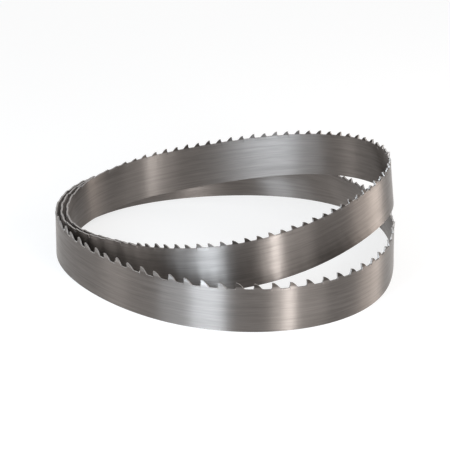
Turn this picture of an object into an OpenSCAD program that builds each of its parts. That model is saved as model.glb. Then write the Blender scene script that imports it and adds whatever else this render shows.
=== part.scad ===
// A toothed steel strip (band saw blade) wound in a loose coil of a little over two turns.
// It stands on its plain back edge with the teeth up. The lower turn stands on the floor;
// the upper turn leaves the nest at the left, climbs over the lower turn at the right and
// comes back down. All lengths are in millimetres, all angles in degrees.
// Angles along the coil run clockwise seen from above and start at the left (-X) point:
// 0 left, 90 back, 180 right, 270 front, 360 left again, and so on outwards.

/* [Strip] */
// Width of the strip from the plain back edge to the tooth tips
band_w = 27; // [15:0.5:50]
// Thickness of the strip
band_t = 0.9; // [0.5:0.05:1.4]

/* [Teeth] */
// Distance from tip to tip on the inner length of the strip
pitch_fine = 6.6; // [5:0.1:12]
// Distance from tip to tip on the outer length of the strip
pitch_coarse = 9.4; // [6:0.1:14]
// Angle along the coil where the change of pitch is half done
pitch_change_at = 515; // [400:5:640]
// Angle over which the pitch changes
pitch_change_over = 70; // [10:5:180]
// Depth of a gullet between the fine teeth
gullet_fine = 2.2; // [1:0.1:5]
// Depth of a gullet between the coarse teeth
gullet_coarse = 3.3; // [1.5:0.1:6]
// Sideways set of a tip, to one side and the other in turn
tooth_set = 0.4; // [0:0.05:0.6]
// Depth below the coarse gullets of the line from which the teeth are bent
bend_below = 0.6; // [0.2:0.1:3]
// Share of their height that the teeth keep where the turns nest at the left
nest_tooth = 0.3; // [0.1:0.05:1]
// Angle past the left point, to the back, at which the teeth are whole again
low_back = 70; // [40:1:90]
// Angle before the left point, at the front, at which the teeth begin to be lower
low_front = 66; // [40:1:90]
// Angle over which the height of the teeth changes
low_over = 30; // [10:1:40]

/* [Lower turn] */
// Mean diameter of the lower turn
loop_d = 197.8; // [160:0.2:320]
// How far the lower turn is drawn out into an oval
oval = 5.3; // [0:0.1:6]
// Angle at which the oval is longest
oval_at = 77; // [0:1:180]
// How far the lower turn is three-cornered
lobe = 4.6; // [0:0.1:6]
// Angle of the first corner of three
lobe_at = 13; // [0:0.5:120]
// How far the lower turn is four-cornered
square = 0.7; // [0:0.1:3]
// Angle of the first corner of four
square_at = 43; // [0:1:90]
// Greatest inward lean of the lower turn, where the upper turn passes over it
lower_lean = 22.5; // [0:0.5:26]
// Angle along the coil of that lean
lower_lean_at = 499; // [485:1:510]
// Angle each way from there over which the lean dies away
lower_lean_over = 55; // [40:1:80]

/* [Upper turn] */
// Mean distance of the upper turn inside the lower one
upper_inset = 12.8; // [6:0.1:20]
// Shift of the upper turn to the back
upper_back = 3.9; // [0:0.1:6]
// How far the upper turn is drawn out into an oval
upper_oval = 3.7; // [0:0.1:6]
// Angle at which the upper oval is longest
upper_oval_at = 19; // [0:1:180]
// How far the upper turn is three-cornered
upper_lobe = 4.4; // [0:0.1:6]
// Angle of the first corner of the upper turn
upper_lobe_at = 30; // [0:1:120]
// Air between the lower tips and the upper back edge at the right
lift_clear = 2.5; // [0.5:0.1:8]
// How much higher the upper turn stands at the back, and lower at the front, than halfway
back_rise = 0.5; // [-3:0.1:3]
// Inward lean of the upper turn at the right
upper_lean = 5.1; // [0:0.1:12]

/* [Nest] */
// Air between set teeth where the turns lie side by side at the left
nest_clear = 1.4; // [0.4:0.1:4]
// Angle over which a turn leaves the nest at the back
nest_back = 68; // [40:1:90]
// Angle over which a turn comes back into the nest at the front
nest_front = 40; // [25:1:90]

/* [Ends] */
// Angle of the inner end of the strip
inner_end = -70; // [-80:1:-10]
// Angle of the outer end of the strip
outer_end = 765; // [730:1:790]
// Share of the upper turn's rise that the inner end follows
tail_rise = 0.8; // [0.3:0.05:0.95]

/* [Hidden] */

steel = [0.56, 0.55, 0.54];
// Centre distance of two turns lying side by side
turn_gap = band_t + 2 * tooth_set + nest_clear;
// Height of the upper back edge at the right
lift = band_w + lift_clear;
// Height of the line from which the teeth are bent
root_z = band_w - gullet_coarse - bend_below;
// Heights below and above the lower tips between which the upper turn may close in over them
room_below = 1;
room_above = 0.5;
// Half the angle over which a direction along the strip is taken
half_step = 0.5;
// One tooth: share of the pitch and share of the gullet depth, from the gullet to the tip
TOOTH = [[0, 0.06], [0.1, 0], [0.5, 0], [0.79, 0.68], [0.975, 1]];

function smooth(t) = let (c = min(1, max(0, t))) c * c * (3 - 2 * c);
function wave(a) = (1 - cos(a)) / 2;
function blend(from, to, share) = from + (to - from) * share;

// Radius of the lower ring and of the upper ring before they meet in the nest
function lower_r(a) =
    loop_d / 2 + oval * cos(2 * (a - oval_at)) + lobe * cos(3 * (a - lobe_at))
    + square * cos(4 * (a - square_at));
function upper_r(a) =
    loop_d / 2 - upper_inset + upper_back * sin(a)
    + upper_oval * cos(2 * (a - upper_oval_at)) + upper_lobe * cos(3 * (a - upper_lobe_at));

// How far the upper turn has left the nest, and the height of its back edge
function away(a) = a < 180 ? smooth(a / nest_back) : smooth((360 - a) / nest_front);
function rise(a) = lift * wave(a) + back_rise * sin(a) * away(a);
function height(a) =
    a < 0 ? tail_rise * rise(a + 360)
    : a < 360 ? rise(a)
    : band_t / 2 * sin(lean_at(a));

// How far a turn lies inside the lower ring
function room(a) =
    turn_gap * (1 - smooth((rise(a) - band_w + room_below) / (room_below + room_above)));
function upper_in(a) =
    max(room(a), blend(turn_gap * (2 - a / 360), lower_r(a) - upper_r(a), away(a)));
function inset(a) =
    a < 0 ? upper_in(a + 360) + turn_gap
    : a < 360 ? upper_in(a)
    : a < 720 ? turn_gap * (1 - smooth((a - 360) / nest_back))
    : -turn_gap * smooth((a - 720) / nest_back);

// Middle of the back edge
function path(a) =
    let (r = lower_r(a) - inset(a))
    [-r * cos(a), r * sin(a), height(a)];
function unit(v) = v / norm(v);
function step(a) = path(a + half_step) - path(a - half_step);
function speed(a) = norm(step(a)) / (2 * half_step);
function tangent(a) = unit(step(a));
// Direction from the back edge to the teeth: square to the path, leaning in at the right
function lean_at(a) =
    a < 0 ? 0
    : a < 360 ? upper_lean * wave(a)
    : lower_lean * (1 - wave(180 * min(1, abs(a - lower_lean_at) / lower_lean_over)));
function upward(a) =
    let (t = tangent(a), z = unit([0, 0, 1] - t[2] * t))
    z * cos(lean_at(a)) + cross(t, z) * sin(lean_at(a));
function sideways(a) = cross(tangent(a), upward(a));

// Teeth set out along the strip: a column is an angle, a height and a side to bend to
function coarse(a) = smooth((a - pitch_change_at) / pitch_change_over + 1 / 2);
function pitch(a) = blend(pitch_fine, pitch_coarse, coarse(a));
function gullet(a) = blend(gullet_fine, gullet_coarse, coarse(a));
// How far the teeth are lowered, and the height of the toothed edge at a share of a tooth
function lowered(a) =
    a < 180 ? 1 - smooth((a - low_back) / low_over + 1)
    : a < 360 ? smooth((a - 360 + low_front) / low_over)
    : a < 540 ? 1 - smooth((a - 360 - low_back) / low_over + 1)
    : smooth((a - 720) / low_over + 1 / 2);
function edge_z(a, share) =
    band_w - gullet(a) * (1 - share * blend(1, nest_tooth, lowered(a)));
starts = [for (a = inner_end; a < outer_end; a = a + pitch(a) / speed(a)) a];
columns = [
    for (k = [0 : len(starts) - 2])
    for (q = TOOTH)
    let (a = blend(starts[k], starts[k + 1], q[0]))
    [a, edge_z(a, q[1]), k % 2 == 0 ? 1 : -1]
];

// Six points round the strip at one column
function bent(c) = tooth_set * c[2] * (c[1] - root_z) / (band_w - root_z);
function ring(c) =
    let (p = path(c[0]), w = upward(c[0]), n = sideways(c[0]), h = band_t / 2)
    [
        p + n * h,
        p + w * root_z + n * h,
        p + w * c[1] + n * (bent(c) + h),
        p + w * c[1] + n * (bent(c) - h),
        p + w * root_z - n * h,
        p - n * h
    ];
raw = [for (c = columns) each ring(c)];
// The coil stands centred on the origin with its back edge on the floor
lo = [for (i = [0, 1, 2]) min([for (p = raw) p[i]])];
hi = [for (i = [0, 1, 2]) max([for (p = raw) p[i]])];
shift = [-(lo[0] + hi[0]) / 2, -(lo[1] + hi[1]) / 2, -lo[2]];
points = [for (p = raw) p + shift];

// Faces: walls between columns, and a cap at each end
last = len(columns) - 1;
walls = [
    for (i = [0 : last - 1])
    for (j = [0 : 5])
    let (a = 6 * i + j, b = 6 * i + (j + 1) % 6)
    each [[a, b, b + 6], [a, b + 6, a + 6]]
];
start_cap = [[0, 5, 4], [0, 4, 1], [1, 4, 3], [1, 3, 2]];
end_cap = [for (q = start_cap) [for (v = [q[0], q[2], q[1]]) v + 6 * last]];

module saw_blade() {
    color(steel)
    polyhedron(points = points, faces = concat(walls, start_cap, end_cap), convexity = 12);
}

saw_blade();
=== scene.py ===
"""Looks of a coiled band saw blade: the toothed strip, its ground steel, a pale floor and soft light."""

import math

import bpy
import numpy as np
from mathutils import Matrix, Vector


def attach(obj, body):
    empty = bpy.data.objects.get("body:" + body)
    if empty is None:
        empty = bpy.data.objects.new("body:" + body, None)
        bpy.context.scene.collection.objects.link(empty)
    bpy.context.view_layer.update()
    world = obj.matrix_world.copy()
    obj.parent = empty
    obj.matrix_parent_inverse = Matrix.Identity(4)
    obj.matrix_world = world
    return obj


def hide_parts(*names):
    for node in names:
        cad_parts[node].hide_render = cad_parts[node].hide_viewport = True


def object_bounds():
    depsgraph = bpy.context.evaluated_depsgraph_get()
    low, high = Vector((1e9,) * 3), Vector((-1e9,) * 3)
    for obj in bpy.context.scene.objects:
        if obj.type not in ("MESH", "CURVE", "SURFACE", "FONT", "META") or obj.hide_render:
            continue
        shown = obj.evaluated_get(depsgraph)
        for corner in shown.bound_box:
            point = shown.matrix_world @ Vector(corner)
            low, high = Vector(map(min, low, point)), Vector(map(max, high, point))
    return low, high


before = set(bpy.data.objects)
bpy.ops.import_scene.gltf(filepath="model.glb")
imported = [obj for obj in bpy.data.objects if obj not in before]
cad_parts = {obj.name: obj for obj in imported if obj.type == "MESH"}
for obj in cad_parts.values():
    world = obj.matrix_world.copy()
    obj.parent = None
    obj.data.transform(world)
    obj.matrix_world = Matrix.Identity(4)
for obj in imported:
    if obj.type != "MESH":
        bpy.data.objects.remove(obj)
cad_low, cad_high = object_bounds()

MM = 0.001
HALF_TURN = 180.0
TURN = 360.0

# The strip and its coil have the part's own values but for NEST_TOOTH, in millimetres and degrees.
# Angles along the coil run clockwise seen from above: 0 left, 90 back, 180 right, 270 front, and so
# on outwards.

# Strip
BAND_W = 27.0
BAND_T = 0.9

# Teeth
PITCH_FINE = 6.6
PITCH_COARSE = 9.4
PITCH_CHANGE_AT = 515.0
PITCH_CHANGE_OVER = 70.0
GULLET_FINE = 2.2
GULLET_COARSE = 3.3
TOOTH_SET = 0.4
BEND_BELOW = 0.6
# Share of their height that the teeth keep in the nest, less than in the solid, for smooth lines there
NEST_TOOTH = 0.12
LOW_BACK = 70.0
LOW_FRONT = 66.0
LOW_OVER = 30.0

# Lower turn
LOOP_D = 197.8
OVAL = 5.3
OVAL_AT = 77.0
LOBE = 4.6
LOBE_AT = 13.0
SQUARE = 0.7
SQUARE_AT = 43.0
LOWER_LEAN = 22.5
LOWER_LEAN_AT = 499.0
LOWER_LEAN_OVER = 55.0

# Upper turn
UPPER_INSET = 12.8
UPPER_BACK = 3.9
UPPER_OVAL = 3.7
UPPER_OVAL_AT = 19.0
UPPER_LOBE = 4.4
UPPER_LOBE_AT = 30.0
LIFT_CLEAR = 2.5
BACK_RISE = 0.5
UPPER_LEAN = 5.1

# Nest
NEST_CLEAR = 1.4
NEST_BACK = 68.0
NEST_FRONT = 40.0

# Ends
INNER_END = -70.0
OUTER_END = 765.0
TAIL_RISE = 0.8

# Derived values, and the heights and the step that the part's functions use
TURN_GAP = BAND_T + 2 * TOOTH_SET + NEST_CLEAR
LIFT = BAND_W + LIFT_CLEAR
ROOT_Z = BAND_W - GULLET_COARSE - BEND_BELOW
ROOM_BELOW = 1.0
ROOM_ABOVE = 0.5
HALF_STEP = 0.5

# One tooth, from the gullet to the tip: share of the pitch at the root, at the top, share of the depth
TOOTH = (
    (0.000, 0.000, 0.24),
    (0.030, 0.025, 0.07),
    (0.070, 0.070, 0.00),
    (0.200, 0.200, 0.00),
    (0.340, 0.340, 0.00),
    (0.470, 0.470, 0.00),
    (0.525, 0.525, 0.07),
    (0.585, 0.585, 0.25),
    (0.650, 0.655, 0.47),
    (0.715, 0.725, 0.66),
    (0.780, 0.795, 0.80),
    (0.845, 0.865, 0.925),
    (0.915, 0.950, 0.985),
    (0.965, 0.995, 1.00),
    (0.985, 0.985, 0.60),
)
# How much of each corner is taken off the back edge
BACK_BREAK = 0.15
# Rows of points up a column: height and half thickness of the back edge, shares of the plain body,
# shares of the bent tooth
BACK_ROWS = ((0.0, BAND_T / 2 - BACK_BREAK), (BACK_BREAK, BAND_T / 2))
BODY_ROWS = (0.25, 0.5, 0.75, 0.98)
TOOTH_ROWS = (0.0, 0.33, 0.66, 1.0)
# How far the strip stays inside the solid's box
BOX_MARGIN = 0.002
# Edges that turn by more than this stay sharp
SHARP_ANGLE = 32.0
UV_NAME = "strip"


def cos(a):
    return np.cos(np.radians(a))


def sin(a):
    return np.sin(np.radians(a))


def smooth(t):
    c = np.clip(t, 0, 1)
    return c * c * (3 - 2 * c)


def wave(a):
    return (1 - cos(a)) / 2


def blend(start, end, share):
    return start + (end - start) * share


def unit(v):
    return v / np.linalg.norm(v, axis=-1, keepdims=True)


def lower_r(a):
    """Radius of the lower ring."""
    ring = LOOP_D / 2 + OVAL * cos(2 * (a - OVAL_AT)) + LOBE * cos(3 * (a - LOBE_AT))
    return ring + SQUARE * cos(4 * (a - SQUARE_AT))


def upper_r(a):
    """Radius of the upper ring before it meets the lower one in the nest."""
    ring = LOOP_D / 2 - UPPER_INSET + UPPER_BACK * sin(a)
    return ring + UPPER_OVAL * cos(2 * (a - UPPER_OVAL_AT)) + UPPER_LOBE * cos(3 * (a - UPPER_LOBE_AT))


def away(a):
    """How far the upper turn has left the nest."""
    return np.where(a < HALF_TURN, smooth(a / NEST_BACK), smooth((TURN - a) / NEST_FRONT))


def rise(a):
    """Height of the upper turn's back edge."""
    return LIFT * wave(a) + BACK_RISE * sin(a) * away(a)


def lean_at(a):
    """Inward lean of the strip."""
    from_lean = np.minimum(1, np.abs(a - LOWER_LEAN_AT) / LOWER_LEAN_OVER)
    lower = LOWER_LEAN * (1 - wave(HALF_TURN * from_lean))
    return np.where(a < 0, 0.0, np.where(a < TURN, UPPER_LEAN * wave(a), lower))


def height(a):
    lower = BAND_T / 2 * sin(lean_at(a))
    return np.where(a < 0, TAIL_RISE * rise(a + TURN), np.where(a < TURN, rise(a), lower))


def upper_in(a):
    """How far the upper turn lies inside the lower ring."""
    room = TURN_GAP * (1 - smooth((rise(a) - BAND_W + ROOM_BELOW) / (ROOM_BELOW + ROOM_ABOVE)))
    return np.maximum(room, blend(TURN_GAP * (2 - a / TURN), lower_r(a) - upper_r(a), away(a)))


def inset(a):
    """How far any turn lies inside the lower ring."""
    lower = TURN_GAP * (1 - smooth((a - TURN) / NEST_BACK))
    outer = -TURN_GAP * smooth((a - 2 * TURN) / NEST_BACK)
    outward = np.where(a < 2 * TURN, lower, outer)
    return np.where(a < 0, upper_in(a + TURN) + TURN_GAP, np.where(a < TURN, upper_in(a), outward))


def path(a):
    """Middle of the strip's back edge."""
    r = lower_r(a) - inset(a)
    return np.stack([-r * cos(a), r * sin(a), height(a)], -1)


def tangent(a):
    return unit(path(a + HALF_STEP) - path(a - HALF_STEP))


def upward(a):
    """Direction from the back edge to the teeth."""
    t = tangent(a)
    z = unit(np.array([0.0, 0.0, 1.0]) - t[..., 2:3] * t)
    lean = lean_at(a)[..., None]
    return z * cos(lean) + np.cross(t, z) * sin(lean)


def length_to(a):
    """Length of the strip from its inner end to an angle."""
    line = path(np.arange(INNER_END, a, HALF_STEP))
    return float(np.linalg.norm(np.diff(line, axis=0), axis=1).sum())


def coarse(a):
    """How far the teeth have changed from fine to coarse."""
    return smooth((a - PITCH_CHANGE_AT) / PITCH_CHANGE_OVER + 0.5)


def lowered(a):
    """How far the teeth are lowered where the turns nest."""
    inner_back = 1 - smooth((a - LOW_BACK) / LOW_OVER + 1)
    front = smooth((a - TURN + LOW_FRONT) / LOW_OVER)
    outer_back = 1 - smooth((a - TURN - LOW_BACK) / LOW_OVER + 1)
    outer_end = smooth((a - 2 * TURN) / LOW_OVER + 0.5)
    outer = np.where(a < TURN + HALF_TURN, outer_back, outer_end)
    return np.where(a < HALF_TURN, inner_back, np.where(a < TURN, front, outer))


def tooth_starts():
    """Angles along the coil at which the teeth begin."""
    starts = []
    a = INNER_END
    while a < OUTER_END:
        starts.append(a)
        at = np.array([a])
        speed = np.linalg.norm(path(at + HALF_STEP) - path(at - HALF_STEP)) / (2 * HALF_STEP)
        a += float(blend(PITCH_FINE, PITCH_COARSE, coarse(at))[0]) / speed
    return np.array(starts)


def strip_points():
    """Angle, height, bend and half thickness of the strip's points, as columns by rows."""
    starts = tooth_starts()
    step = np.diff(starts)
    tooth = np.array(TOOTH)
    base = (starts[:-1, None] + step[:, None] * tooth[None, :, 0]).ravel()
    top = (starts[:-1, None] + step[:, None] * tooth[None, :, 1]).ravel()
    share = np.tile(tooth[:, 2], len(step))
    side = np.repeat(np.where(np.arange(len(step)) % 2 == 0, 1.0, -1.0), len(tooth))
    gullet = blend(GULLET_FINE, GULLET_COARSE, coarse(base))
    top_z = BAND_W - gullet * (1 - share * blend(1, NEST_TOOTH, lowered(base)))
    straight = np.zeros_like(base)
    half = np.full_like(base, BAND_T / 2)
    rows = []
    for z, thick in BACK_ROWS:
        rows.append((base, np.full_like(base, z), straight, np.full_like(base, thick)))
    for q in BODY_ROWS:
        rows.append((base, np.full_like(base, ROOT_Z * q), straight, half))
    for q in TOOTH_ROWS:
        z = ROOT_Z + (top_z - ROOT_Z) * q
        bend = TOOTH_SET * side * (z - ROOT_Z) / (BAND_W - ROOT_Z)
        rows.append((base + (top - base) * q, z, bend, half))
    return [np.stack(values, 1) for values in zip(*rows)]


def strip_loops(angle, up, bend, half):
    """Points round the strip at each column: up its inner side and down its outer side."""
    w = upward(angle)
    n = np.cross(tangent(angle), w)
    middle = path(angle) + w * up[..., None]
    inner = middle + n * (bend + half)[..., None]
    outer = middle + n * (bend - half)[..., None]
    return np.concatenate([inner, outer[:, ::-1]], 1)


def strip_faces(columns, rows):
    """Walls between the columns, then a cap at each end."""
    ring = 2 * rows
    faces = []
    for i in range(columns - 1):
        for j in range(ring):
            a = i * ring + j
            b = i * ring + (j + 1) % ring
            faces.append((a, a + ring, b + ring, b))
    for i, flip in ((0, False), (columns - 1, True)):
        for j in range(rows - 1):
            cap = (i * ring + j, i * ring + j + 1, i * ring + ring - 2 - j, i * ring + ring - 1 - j)
            faces.append(cap[::-1] if flip else cap)
    return faces


def toothed_edge(columns, rows, face_count):
    """Material index of each face: 1 on the narrow toothed edge and 0 elsewhere."""
    ring = 2 * rows
    edge = np.arange(face_count) % ring == rows - 1
    edge[(columns - 1) * ring:] = False
    return edge.astype(np.int32)


def inside_box(verts):
    """The points in the middle of the solid's box, on its floor and just inside it."""
    low, high = verts.min(0), verts.max(0)
    box_low, box_high = np.array(cad_low) / MM, np.array(cad_high) / MM
    fit = np.minimum(1, (box_high - box_low - 2 * BOX_MARGIN) / (high - low))
    verts = (verts - (low + high) / 2) * fit + (box_low + box_high) / 2
    verts[:, 2] += box_low[2] - verts[:, 2].min()
    return verts


def add_strip_uv(mesh, angle, up):
    """Length along the strip and height across it, in metres, for the grinding marks."""
    line = path(angle[:, 0])
    length = np.r_[0, np.cumsum(np.linalg.norm(np.diff(line, axis=0), axis=1))]
    u = np.repeat(length[:, None], 2 * up.shape[1], 1).ravel()
    v = np.concatenate([up, up[:, ::-1]], 1).ravel()
    uv = mesh.uv_layers.new(name=UV_NAME)
    index = np.empty(len(mesh.loops), dtype=np.int32)
    mesh.loops.foreach_get("vertex_index", index)
    uv.data.foreach_set("uv", np.stack([u[index], v[index]], 1).ravel() * MM)


def strip_mesh():
    """The whole toothed strip as one closed mesh, in metres."""
    angle, up, bend, half = strip_points()
    columns, rows = angle.shape
    verts = inside_box(strip_loops(angle, up, bend, half).reshape(-1, 3))
    faces = strip_faces(columns, rows)
    mesh = bpy.data.meshes.new("saw_blade_strip")
    mesh.from_pydata((verts * MM).tolist(), [], faces)
    add_strip_uv(mesh, angle, up)
    mesh.materials.append(ground_steel())
    mesh.materials.append(cut_edge_highlight())
    mesh.polygons.foreach_set("material_index", toothed_edge(columns, rows, len(faces)))
    mesh.update()
    return mesh


def saw_blade():
    mesh = strip_mesh()
    mesh.shade_smooth()
    mesh.set_sharp_from_angle(angle=math.radians(SHARP_ANGLE))
    strip = bpy.data.objects.new("saw_blade_strip", mesh)
    bpy.context.collection.objects.link(strip)
    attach(strip, "root")
    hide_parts("saw_blade")


# Steel: the streaks of the body, the teeth on the inner and the outer length, the outer teeth pale as a
# painted highlight, and the cut edge, paler than the faces as a painted highlight
STEEL_DARK = (0.196, 0.175, 0.161, 1)
STEEL_PALE = (0.258, 0.232, 0.215, 1)
TOOTH_DARK = (0.095, 0.083, 0.075, 1)
# Pale teeth: a painted highlight of the key lamp on the lower turn's front left
TOOTH_HIGHLIGHT = (0.320, 0.298, 0.282, 1)
# The cut edge is paler than the faces as a painted highlight of light catching the top edge
CUT_HIGHLIGHT_DARK = (0.34, 0.32, 0.305, 1)
CUT_HIGHLIGHT_PALE = (0.48, 0.455, 0.44, 1)
CUT_ROUGHNESS = 0.6
# Angles along the coil between which the teeth turn from dark to pale; the pale teeth are a painted
# highlight of the key lamp on the lower turn's front left
TOOTH_HIGHLIGHT_FROM = 628.0
TOOTH_HIGHLIGHT_TO = 640.0
# The tooth tone begins this far below the fine gullets and is whole this far above them
TOOTH_TONE_BELOW = 0.2
TOOTH_TONE_ABOVE = 0.4
# Marks on the steel: features per metre along the strip and across it, and their detail
BROAD_STREAKS = (20.0, 700.0, 2.0)
FINE_STREAKS = (90.0, 1700.0, 3.0)
CUT_MARKS = (900.0, 900.0, 2.0)
# Range of the noise that is used, and how much of the tone each kind of streak gives
NOISE_LOW = 0.3
NOISE_HIGH = 0.7
BROAD_SHARE = 0.55
FINE_SHARE = 0.45
# Roughness at a dark tone and at a pale one
DARK_TONE = 0.2
PALE_TONE = 0.8
DARK_ROUGHNESS = 0.465
PALE_ROUGHNESS = 0.400
# The marks spread light across the strip, so that its bright bands stand upright
MARKS_ANISOTROPY = 1.0
MARKS_ROTATION = 0.25
MARKS_STRENGTH = 0.5
MARKS_DEPTH = 0.04 * MM


def feed(links, socket, value):
    """Set an input to a constant, or link it to an output."""
    if isinstance(value, bpy.types.NodeSocket):
        links.new(value, socket)
    else:
        socket.default_value = value


def mix(nodes, links, share, first, second):
    """A colour between two."""
    node = nodes.new("ShaderNodeMix")
    node.data_type = "RGBA"
    feed(links, node.inputs["Factor"], share)
    feed(links, node.inputs["A"], first)
    feed(links, node.inputs["B"], second)
    return node.outputs["Result"]


def calculate(nodes, links, operation, first, second):
    """A value worked out from two."""
    node = nodes.new("ShaderNodeMath")
    node.operation = operation
    feed(links, node.inputs[0], first)
    feed(links, node.inputs[1], second)
    return node.outputs["Value"]


def map_range(nodes, links, value, low, high, to_low, to_high):
    """A value's range brought to another range."""
    node = nodes.new("ShaderNodeMapRange")
    node.inputs["From Min"].default_value = low
    node.inputs["From Max"].default_value = high
    node.inputs["To Min"].default_value = to_low
    node.inputs["To Max"].default_value = to_high
    links.new(value, node.inputs["Value"])
    return node.outputs["Result"]


def marks(nodes, links, uv, along, across, detail):
    """Noise drawn out along the strip; along and across are its features per metre."""
    stretch = nodes.new("ShaderNodeMapping")
    stretch.inputs["Scale"].default_value = (along, across, 1.0)
    links.new(uv, stretch.inputs["Vector"])
    noise = nodes.new("ShaderNodeTexNoise")
    noise.inputs["Scale"].default_value = 1.0
    noise.inputs["Detail"].default_value = detail
    links.new(stretch.outputs["Vector"], noise.inputs["Vector"])
    return noise.outputs["Fac"]


def metal(name):
    """A new metal material, with its nodes, links, shader inputs and the strip's UV map."""
    material = bpy.data.materials.new(name)
    material.use_nodes = True
    nodes, links = material.node_tree.nodes, material.node_tree.links
    shader = nodes["Principled BSDF"].inputs
    shader["Metallic"].default_value = 1.0
    uv = nodes.new("ShaderNodeUVMap")
    uv.uv_map = UV_NAME
    return material, nodes, links, shader, uv.outputs["UV"]


def cut_edge_highlight():
    """The top of the teeth and gullets, paler than the faces as a painted highlight of light catching
    the edge.
    """
    material, nodes, links, shader, uv = metal("cut_edge_highlight")
    shader["Roughness"].default_value = CUT_ROUGHNESS
    # Paler tone on the top edge: a painted highlight
    tone = mix(nodes, links, marks(nodes, links, uv, *CUT_MARKS), CUT_HIGHLIGHT_DARK, CUT_HIGHLIGHT_PALE)
    links.new(tone, shader["Base Color"])
    return material


def tooth_tone_and_highlight(nodes, links, uv, body):
    """The body's tone with the teeth on it: dark above the gullets, and pale on the outer length as a
    painted highlight.
    """
    place = nodes.new("ShaderNodeSeparateXYZ")
    links.new(uv, place.inputs["Vector"])
    gullet_z = BAND_W - GULLET_FINE
    tooth_from = (gullet_z - TOOTH_TONE_BELOW) * MM
    tooth_to = (gullet_z + TOOTH_TONE_ABOVE) * MM
    tooth = map_range(nodes, links, place.outputs["Y"], tooth_from, tooth_to, 0.0, 1.0)
    highlight_from = length_to(TOOTH_HIGHLIGHT_FROM) * MM
    highlight_to = length_to(TOOTH_HIGHLIGHT_TO) * MM
    # The pale teeth on the outer length are a painted highlight
    pale = map_range(nodes, links, place.outputs["X"], highlight_from, highlight_to, 0.0, 1.0)
    return mix(nodes, links, tooth, body, mix(nodes, links, pale, TOOTH_DARK, TOOTH_HIGHLIGHT))


def ground_steel():
    """Steel ground along the strip, with short streaks in tone and roughness."""
    material, nodes, links, shader, uv = metal("ground_steel")
    shader["Anisotropic"].default_value = MARKS_ANISOTROPY
    shader["Anisotropic Rotation"].default_value = MARKS_ROTATION
    along = nodes.new("ShaderNodeTangent")
    along.direction_type = "UV_MAP"
    along.uv_map = UV_NAME
    links.new(along.outputs["Tangent"], shader["Tangent"])
    broad = marks(nodes, links, uv, *BROAD_STREAKS)
    fine = marks(nodes, links, uv, *FINE_STREAKS)
    broad_part = map_range(nodes, links, broad, NOISE_LOW, NOISE_HIGH, 0.0, BROAD_SHARE)
    fine_part = map_range(nodes, links, fine, NOISE_LOW, NOISE_HIGH, 0.0, FINE_SHARE)
    tone = calculate(nodes, links, "ADD", broad_part, fine_part)
    body = mix(nodes, links, tone, STEEL_DARK, STEEL_PALE)
    links.new(tooth_tone_and_highlight(nodes, links, uv, body), shader["Base Color"])
    roughness = map_range(nodes, links, tone, DARK_TONE, PALE_TONE, DARK_ROUGHNESS, PALE_ROUGHNESS)
    links.new(roughness, shader["Roughness"])
    bump = nodes.new("ShaderNodeBump")
    bump.inputs["Strength"].default_value = MARKS_STRENGTH
    bump.inputs["Distance"].default_value = MARKS_DEPTH
    links.new(fine, bump.inputs["Height"])
    links.new(bump.outputs["Normal"], shader["Normal"])
    return material


# Floor: its size in metres, its colour, and its lift where the camera or a reflection sees it
FLOOR_SIZE = 8.0
FLOOR_COLOUR = (0.36, 0.36, 0.36, 1)
FLOOR_LIFT = 0.72


def seen_share(nodes, links, strength):
    """A value that is strength for camera, glossy and transmission rays and 0 for the rest."""
    rays = nodes.new("ShaderNodeLightPath").outputs
    seen = calculate(nodes, links, "MAXIMUM", rays["Is Camera Ray"], rays["Is Glossy Ray"])
    seen = calculate(nodes, links, "MAXIMUM", seen, rays["Is Transmission Ray"])
    return calculate(nodes, links, "MULTIPLY", seen, strength)


def pale_floor():
    """A pale floor that keeps the shadow and is lifted to white where it is seen."""
    bpy.ops.mesh.primitive_plane_add(size=FLOOR_SIZE)
    floor = bpy.context.object
    floor.name = "floor"
    material = bpy.data.materials.new("pale_floor")
    material.use_nodes = True
    nodes, links = material.node_tree.nodes, material.node_tree.links
    nodes.clear()
    out = nodes.new("ShaderNodeOutputMaterial")
    diffuse = nodes.new("ShaderNodeBsdfDiffuse")
    diffuse.inputs["Color"].default_value = FLOOR_COLOUR
    glow = nodes.new("ShaderNodeEmission")
    links.new(seen_share(nodes, links, FLOOR_LIFT), glow.inputs["Strength"])
    both = nodes.new("ShaderNodeAddShader")
    links.new(diffuse.outputs["BSDF"], both.inputs[0])
    links.new(glow.outputs["Emission"], both.inputs[1])
    links.new(both.outputs["Shader"], out.inputs["Surface"])
    floor.data.materials.append(material)


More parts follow.
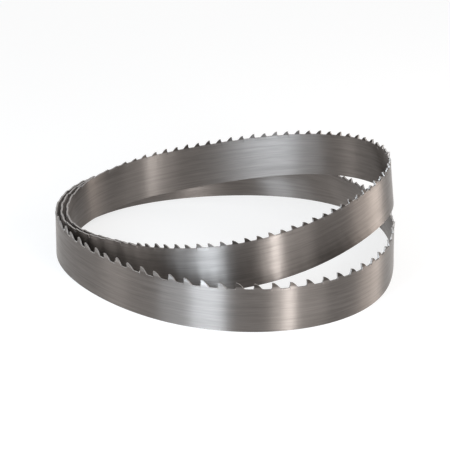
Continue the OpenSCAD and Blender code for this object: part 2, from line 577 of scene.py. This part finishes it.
# Light from all round, and upright lamps just above the floor, round the coil. A lamp has the azimuth
# of its middle and its width in degrees, its distance, lower edge and height in metres, its level and
# its colour. Azimuth 0 is the camera's side and grows to the right.
WORLD_LEVEL = 0.4
WHITE = (1.0, 1.0, 1.0)
COOL = (0.75, 0.88, 1.0)
WARM = (1.0, 0.93, 0.87)
LAMPS = (
    ("key_left", -28, 22, 0.5, 0.01, 0.30, 14.0, COOL),
    ("key_skirt", -49, 20, 0.5, 0.01, 0.30, 3.5, COOL),
    ("slim_right", 29, 7, 0.8, 0.01, 0.45, 22.0, WHITE),
    ("slim_skirt", 20, 10, 0.8, 0.01, 0.45, 4.5, WHITE),
    ("fill_right", 48, 24, 0.8, 0.01, 0.50, 1.6, WHITE),
    ("rim_right", 112, 13, 0.5, 0.01, 0.35, 6.0, WARM),
    ("rim_skirt", 98, 14, 0.5, 0.01, 0.35, 2.0, WARM),
    ("fill_left", -90, 14, 0.7, 0.01, 0.50, 1.6, WHITE),
    ("backdrop", 180, 70, 1.6, 0.02, 1.30, 1.1, WHITE),
)


def world_light():
    world = bpy.data.worlds.new("studio")
    bpy.context.scene.world = world
    world.use_nodes = True
    back = world.node_tree.nodes["Background"]
    back.inputs["Color"].default_value = (*WHITE, 1)
    back.inputs["Strength"].default_value = WORLD_LEVEL


def softbox(name, azimuth, wide, distance, low, tall, level, colour):
    """An upright lamp facing the coil."""
    light = bpy.data.lights.new(name, "AREA")
    light.shape = "RECTANGLE"
    light.size = 2 * distance * math.tan(math.radians(wide / 2))
    light.size_y = tall
    light.energy = level * math.pi * light.size * tall
    light.color = colour
    lamp = bpy.data.objects.new(name, light)
    a = math.radians(azimuth)
    to_coil = Vector((-math.sin(a), math.cos(a), 0))
    lamp.location = (distance * math.sin(a), -distance * math.cos(a), low + tall / 2)
    lamp.rotation_euler = to_coil.to_track_quat("-Z", "Y").to_euler()
    lamp.visible_camera = False
    bpy.context.collection.objects.link(lamp)


# Camera: its height above the horizon in degrees, its distance and aim in the part's frame, its focal
# length in pixels of an image of this size, and its sensor's width in millimetres
CAMERA_ELEVATION = 20.72
CAMERA_DISTANCE = 1445.4 * MM
CAMERA_AIM = Vector((0.28, 2.97, 19.16)) * MM
FOCAL_PIXELS = 2604.5
IMAGE_PIXELS = 450
SENSOR_WIDTH = 36.0


def camera():
    data = bpy.data.cameras.new("camera")
    data.sensor_width = SENSOR_WIDTH
    data.lens = FOCAL_PIXELS / IMAGE_PIXELS * SENSOR_WIDTH
    eye = bpy.data.objects.new("camera", data)
    e = math.radians(CAMERA_ELEVATION)
    from_coil = Vector((0, -math.cos(e), math.sin(e)))
    eye.location = CAMERA_AIM + from_coil * CAMERA_DISTANCE
    eye.rotation_euler = (-from_coil).to_track_quat("-Z", "Y").to_euler()
    bpy.context.collection.objects.link(eye)
    bpy.context.scene.camera = eye


saw_blade()
pale_floor()
world_light()
for lamp_values in LAMPS:
    softbox(*lamp_values)
camera()
bpy.context.scene.view_settings.view_transform = "Standard"
